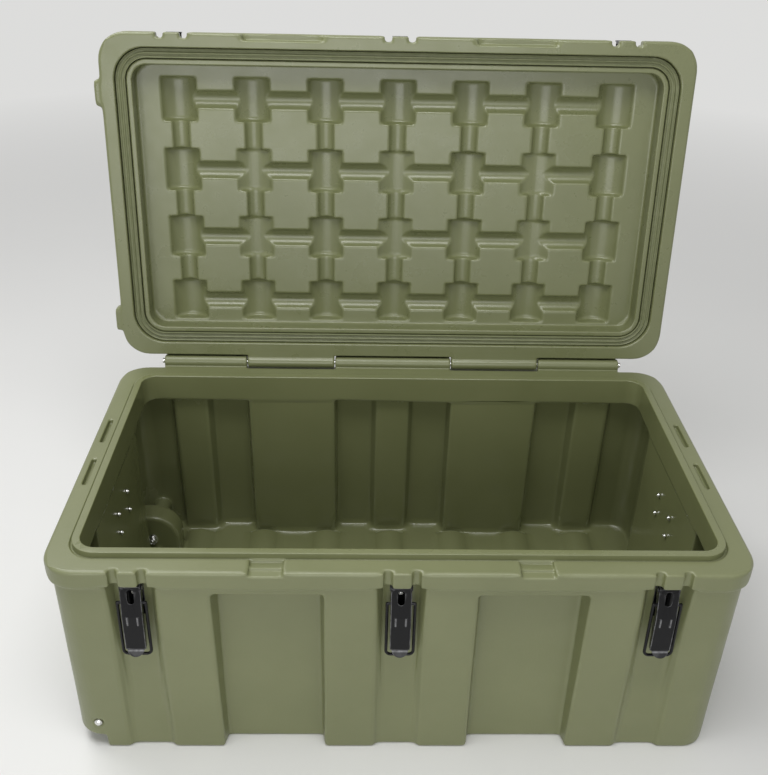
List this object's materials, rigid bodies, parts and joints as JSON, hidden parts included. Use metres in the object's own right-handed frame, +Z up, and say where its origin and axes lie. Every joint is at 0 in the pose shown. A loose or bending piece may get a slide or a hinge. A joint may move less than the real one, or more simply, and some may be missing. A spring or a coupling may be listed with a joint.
{
  "type": "hard equipment case",
  "caption": "Open rotomoulded equipment case with a gasketed hinged lid, draw latches along the front, drop handles at the ends and transport wheels at one end.",
  "frame": {"origin": "on the ground under the middle of the rim, on the flat of the case's underside", "axes": "+X to the right seen from the latch side, +Y towards the hinge, +Z up"},
  "size_m": [1.112, 0.7927, 1.0376],
  "materials": {
    "olive_shell": "moulded olive polyethylene, satin",
    "seal": "soft olive seal",
    "black_coat": "black powder coat",
    "zinc": "bright zinc",
    "grip_rubber": "black moulded grip",
    "hub_nylon": "dark nylon",
    "tyre_rubber": "black tread"
  },
  "bodies": {
    "base": {"base_shell": "olive_shell", "hinge_rod": "zinc", "latch_plate_left": "black_coat", "latch_plate_centre": "black_coat", "latch_plate_right": "black_coat", "latch_pin_left": "black_coat", "latch_pin_centre": "black_coat", "latch_pin_right": "black_coat", "latch_rivets": "zinc", "handle_plate_left": "black_coat", "handle_plate_right": "black_coat", "handle_bolts": "zinc", "handle_nuts": "zinc", "axle_bolts": "zinc", "axle_washers": "zinc", "axle_nuts": "zinc"},
    "lid": {"lid_shell": "olive_shell", "lid_gasket": "seal", "keeper_left": "black_coat", "keeper_centre": "black_coat", "keeper_right": "black_coat", "keeper_rivets": "zinc"},
    "lever_left": {"latch_lever_left": "black_coat"},
    "bail_left": {"latch_bail_left": "black_coat"},
    "lever_centre": {"latch_lever_centre": "black_coat"},
    "bail_centre": {"latch_bail_centre": "black_coat"},
    "lever_right": {"latch_lever_right": "black_coat"},
    "bail_right": {"latch_bail_right": "black_coat"},
    "handle_left": {"handle_bail_left": "black_coat", "handle_grip_left": "grip_rubber"},
    "handle_right": {"handle_bail_right": "black_coat", "handle_grip_right": "grip_rubber"},
    "wheel_front": {"wheel_hub_front": "hub_nylon", "wheel_tyre_front": "tyre_rubber"},
    "wheel_rear": {"wheel_hub_rear": "hub_nylon", "wheel_tyre_rear": "tyre_rubber"}
  },
  "joints": [
    {"name": "lid_hinge", "type": "hinge", "parent": "base", "child": "lid", "pos_m": [0, 0.326, 0.407], "axis": [-1, 0, 0], "range_deg": [-98, 0]},
    {"name": "lever_left_pivot", "type": "hinge", "parent": "base", "child": "lever_left", "pos_m": [-0.415, -0.29355, 0.35768], "axis": [-1, 0, 0], "range_deg": [0, 90]},
    {"name": "bail_left_pivot", "type": "hinge", "parent": "lever_left", "child": "bail_left", "pos_m": [-0.415, -0.30228, 0.3341], "axis": [1, 0, 0], "range_deg": [-176, 0]},
    {"name": "lever_centre_pivot", "type": "hinge", "parent": "base", "child": "lever_centre", "pos_m": [0, -0.29355, 0.35768], "axis": [-1, 0, 0], "range_deg": [0, 90]},
    {"name": "bail_centre_pivot", "type": "hinge", "parent": "lever_centre", "child": "bail_centre", "pos_m": [0, -0.30228, 0.3341], "axis": [1, 0, 0], "range_deg": [-176, 0]},
    {"name": "lever_right_pivot", "type": "hinge", "parent": "base", "child": "lever_right", "pos_m": [0.415, -0.29355, 0.35768], "axis": [-1, 0, 0], "range_deg": [0, 90]},
    {"name": "bail_right_pivot", "type": "hinge", "parent": "lever_right", "child": "bail_right", "pos_m": [0.415, -0.30228, 0.3341], "axis": [1, 0, 0], "range_deg": [-176, 0]},
    {"name": "handle_left_swing", "type": "hinge", "parent": "base", "child": "handle_left", "pos_m": [-0.524, 0, 0.284], "axis": [0, 1, 0], "range_deg": [0, 95]},
    {"name": "handle_right_swing", "type": "hinge", "parent": "base", "child": "handle_right", "pos_m": [0.524, 0, 0.284], "axis": [0, -1, 0], "range_deg": [0, 95]},
    {"name": "wheel_front_spin", "type": "hinge", "parent": "base", "child": "wheel_front", "pos_m": [-0.502, -0.2, 0.058], "axis": [0, 1, 0], "continuous": true},
    {"name": "wheel_rear_spin", "type": "hinge", "parent": "base", "child": "wheel_rear", "pos_m": [-0.502, 0.2, 0.058], "axis": [0, 1, 0], "continuous": true}
  ]
}
